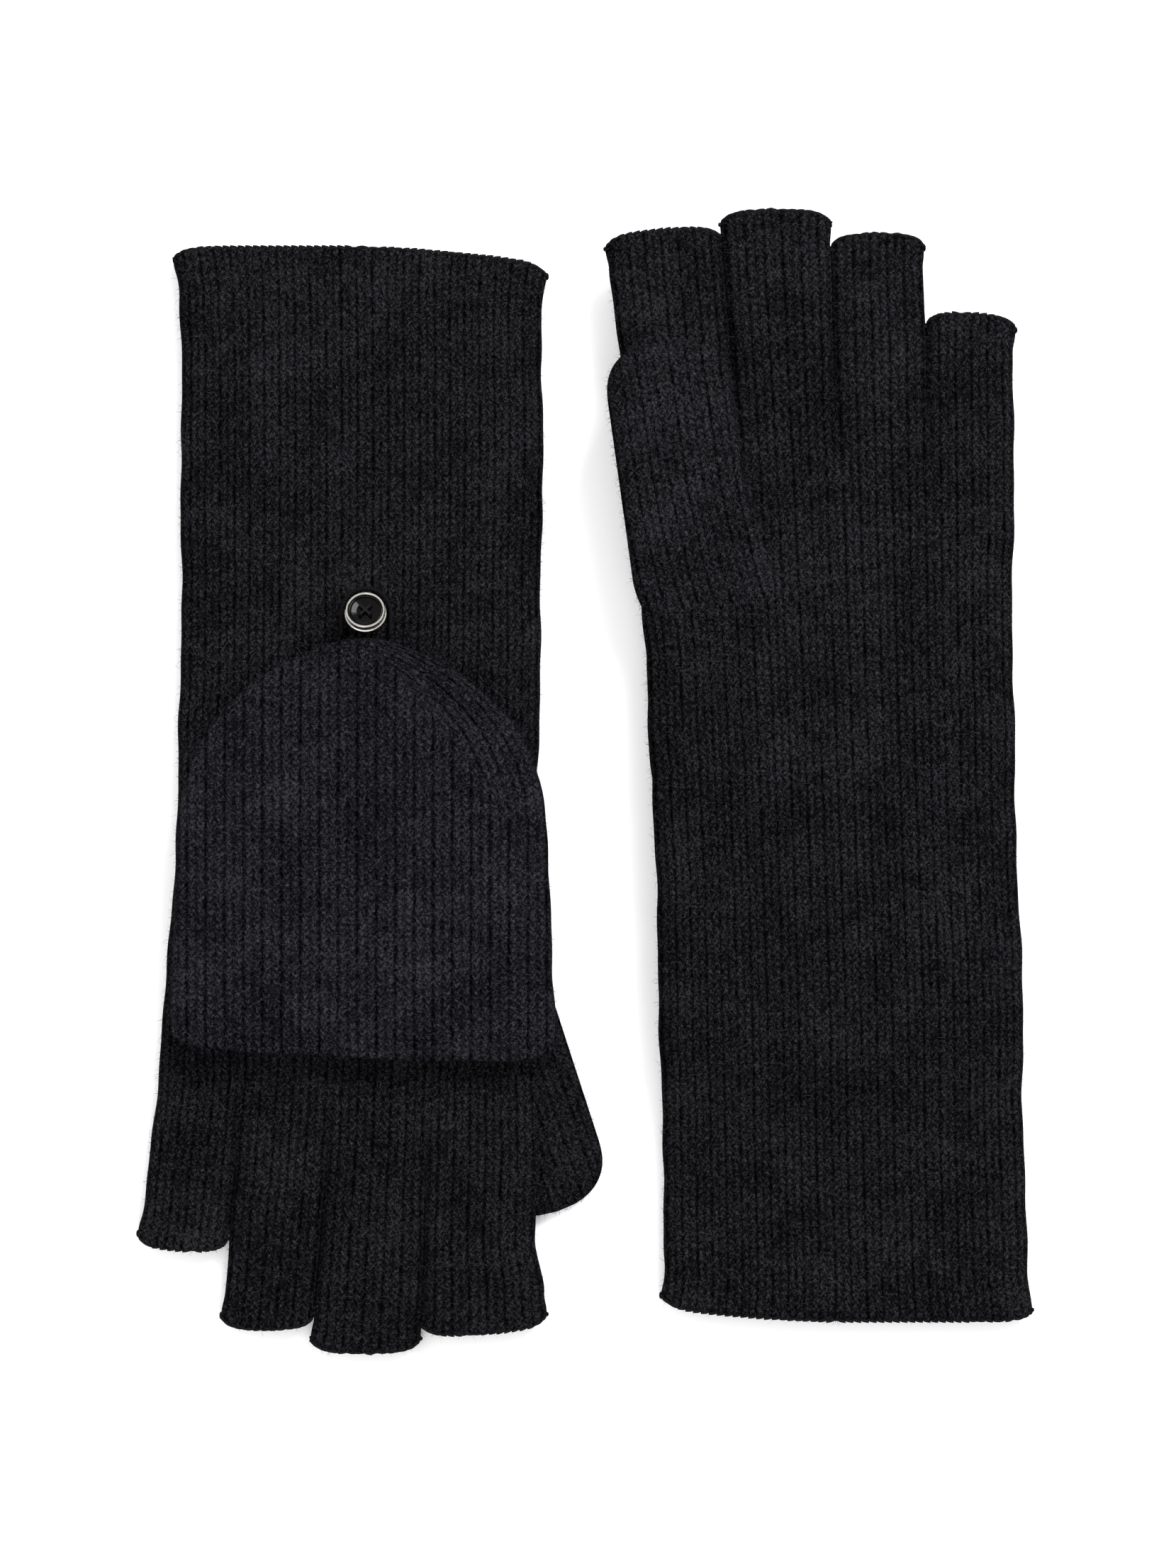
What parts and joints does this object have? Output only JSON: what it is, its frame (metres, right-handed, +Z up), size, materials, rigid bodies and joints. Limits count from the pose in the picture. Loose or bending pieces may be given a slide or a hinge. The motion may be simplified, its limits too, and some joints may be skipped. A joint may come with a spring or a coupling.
{
  "type": "convertible flip-top mittens",
  "caption": "Pair of long ribbed knit half-finger gloves with mitten caps that fold back over the hand and fasten by a loop on a button.",
  "frame": {"origin": "middle of the pair's outline, on the surface that the gloves lie on", "axes": "+Z up from the surface; +Y runs along both gloves, towards the right glove's cuff and the left glove's finger tips; +X points from the right glove to the left one"},
  "size_m": [0.2286, 0.2896, 0.0281],
  "materials": {
    "knit": "brushed wool and cashmere rib knit, charcoal black",
    "cap_knit": "brushed wool and cashmere rib knit, charcoal black",
    "seam_yarn": "linked yarn seam",
    "loop_cord": "fine corded yarn",
    "thread": "black sewing thread",
    "silver_rim": "polished nickel plate",
    "black_insert": "polished black resin"
  },
  "bodies": {
    "right_glove": {"right_hand": "knit", "right_index_finger": "knit", "right_middle_finger": "knit", "right_ring_finger": "knit", "right_little_finger": "knit", "right_thumb": "knit", "right_knuckle_seam": "seam_yarn"},
    "right_cap": {"right_cap": "cap_knit"},
    "right_loop": {"right_button_loop": "loop_cord"},
    "right_button": {"right_button_rim": "silver_rim", "right_button_insert": "black_insert", "right_button_thread": "thread"},
    "left_glove": {"left_hand": "knit", "left_index_finger": "knit", "left_middle_finger": "knit", "left_ring_finger": "knit", "left_little_finger": "knit", "left_thumb": "knit", "left_knuckle_seam": "seam_yarn"},
    "left_cap": {"left_cap": "cap_knit"},
    "left_loop": {"left_button_loop": "loop_cord"},
    "left_button": {"left_button_rim": "silver_rim", "left_button_insert": "black_insert", "left_button_thread": "thread"}
  },
  "joints": [
    {"name": "right_cap_flip", "type": "hinge", "parent": "right_glove", "child": "right_cap", "pos_m": [-0.0572, -0.069, 0.0152], "axis": [1, 0, 0], "range_deg": [0, 180]},
    {"name": "right_loop_lift", "type": "hinge", "parent": "right_cap", "child": "right_loop", "pos_m": [-0.0566, 0.0386, 0.0106], "axis": [1, 0, 0], "range_deg": [0, 70]},
    {"name": "right_button_tilt", "type": "hinge", "parent": "right_glove", "child": "right_button", "pos_m": [-0.0566, 0.042, 0.0096], "axis": [1, 0, 0], "range_deg": [0, 12]},
    {"name": "left_cap_flip", "type": "hinge", "parent": "left_glove", "child": "left_cap", "pos_m": [0.0606, 0.069, 0.0042], "axis": [1, 0, 0], "range_deg": [0, 180]},
    {"name": "left_loop_lift", "type": "hinge", "parent": "left_cap", "child": "left_loop", "pos_m": [0.06, -0.0386, 0.0088], "axis": [1, 0, 0], "range_deg": [0, 70]},
    {"name": "left_button_tilt", "type": "hinge", "parent": "left_glove", "child": "left_button", "pos_m": [0.06, -0.042, 0.0098], "axis": [1, 0, 0], "range_deg": [0, 12]},
    {"name": "left_glove_slide", "type": "slide", "parent": "right_glove", "child": "left_glove", "axis": [1, 0, 0], "range_m": [0, 0.1]}
  ]
}
